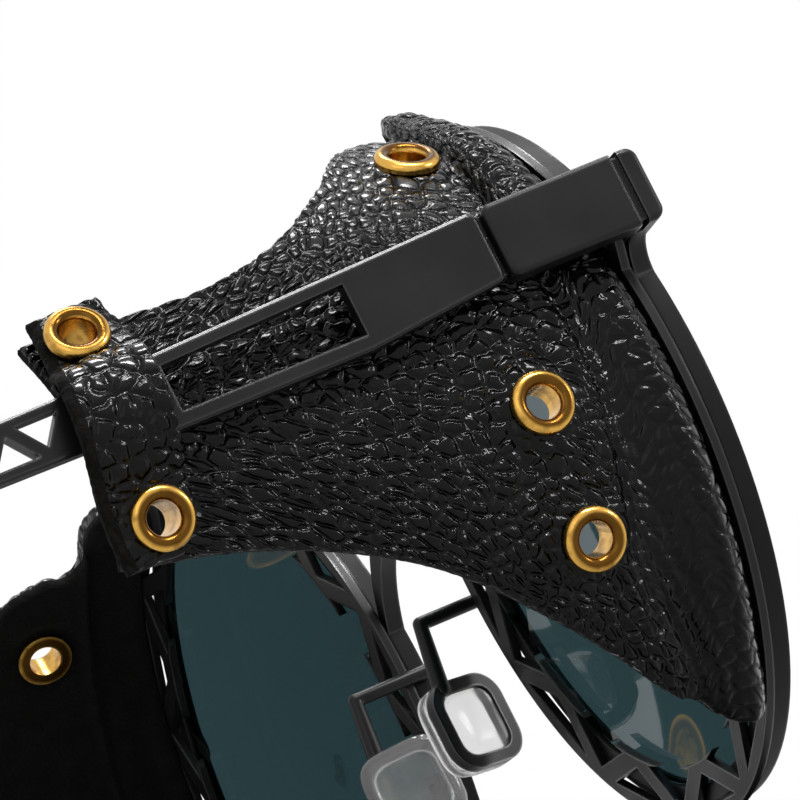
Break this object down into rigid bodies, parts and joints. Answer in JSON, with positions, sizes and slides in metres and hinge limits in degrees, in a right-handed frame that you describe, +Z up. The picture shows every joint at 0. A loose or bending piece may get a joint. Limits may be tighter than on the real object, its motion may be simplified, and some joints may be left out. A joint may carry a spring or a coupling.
{
  "type": "steampunk goggles",
  "caption": "Round tinted goggles with openwork guard rings, leather side shields, brass eyelets and folding temples.",
  "frame": {"origin": "centre of the footprint, on the surface that the guard rings and the temple tips stand on", "axes": "+Z up, -Y the way the wearer looks, +X to the wearer's left"},
  "size_m": [0.1378, 0.1462, 0.0551],
  "materials": {
    "black_metal": "satin black paint",
    "guard_metal": "satin black paint",
    "lens_tint": "dark teal tint",
    "leather": "glossy pebble grain",
    "brass": "polished, worn",
    "silicone": "clear white silicone",
    "tip_plastic": "gloss black",
    "screw_steel": "plain steel"
  },
  "bodies": {
    "front": {"bridge": "black_metal", "rim_right": "black_metal", "lens_right": "lens_tint", "guard_ring_right": "guard_metal", "end_piece_right": "black_metal", "hinge_front_right": "black_metal", "hinge_screw_right": "screw_steel", "nose_pad_frame_right": "black_metal", "nose_pad_right": "silicone", "side_shield_right": "leather", "eyelet_front_top_right": "brass", "eyelet_front_middle_right": "brass", "eyelet_front_bottom_right": "brass", "rim_left": "black_metal", "lens_left": "lens_tint", "guard_ring_left": "guard_metal", "end_piece_left": "black_metal", "hinge_front_left": "black_metal", "hinge_screw_left": "screw_steel", "nose_pad_frame_left": "black_metal", "nose_pad_left": "silicone", "side_shield_left": "leather", "eyelet_front_top_left": "brass", "eyelet_front_middle_left": "brass", "eyelet_front_bottom_left": "brass"},
    "temple_right": {"temple_right": "black_metal", "temple_tip_right": "tip_plastic", "hinge_temple_right": "black_metal", "shield_strap_right": "leather", "eyelet_rear_top_right": "brass", "eyelet_rear_bottom_right": "brass"},
    "temple_left": {"temple_left": "black_metal", "temple_tip_left": "tip_plastic", "hinge_temple_left": "black_metal", "shield_strap_left": "leather", "eyelet_rear_top_left": "brass", "eyelet_rear_bottom_left": "brass"}
  },
  "joints": [
    {"name": "right_fold", "type": "hinge", "parent": "front", "child": "temple_right", "pos_m": [-0.0659, -0.06006, 0.0391], "axis": [0, 0, -1], "range_deg": [0, 78], "deforming": ["side_shield_right"]},
    {"name": "left_fold", "type": "hinge", "parent": "front", "child": "temple_left", "pos_m": [0.0659, -0.06006, 0.0391], "axis": [0, 0, 1], "range_deg": [0, 90], "deforming": ["side_shield_left"]}
  ]
}
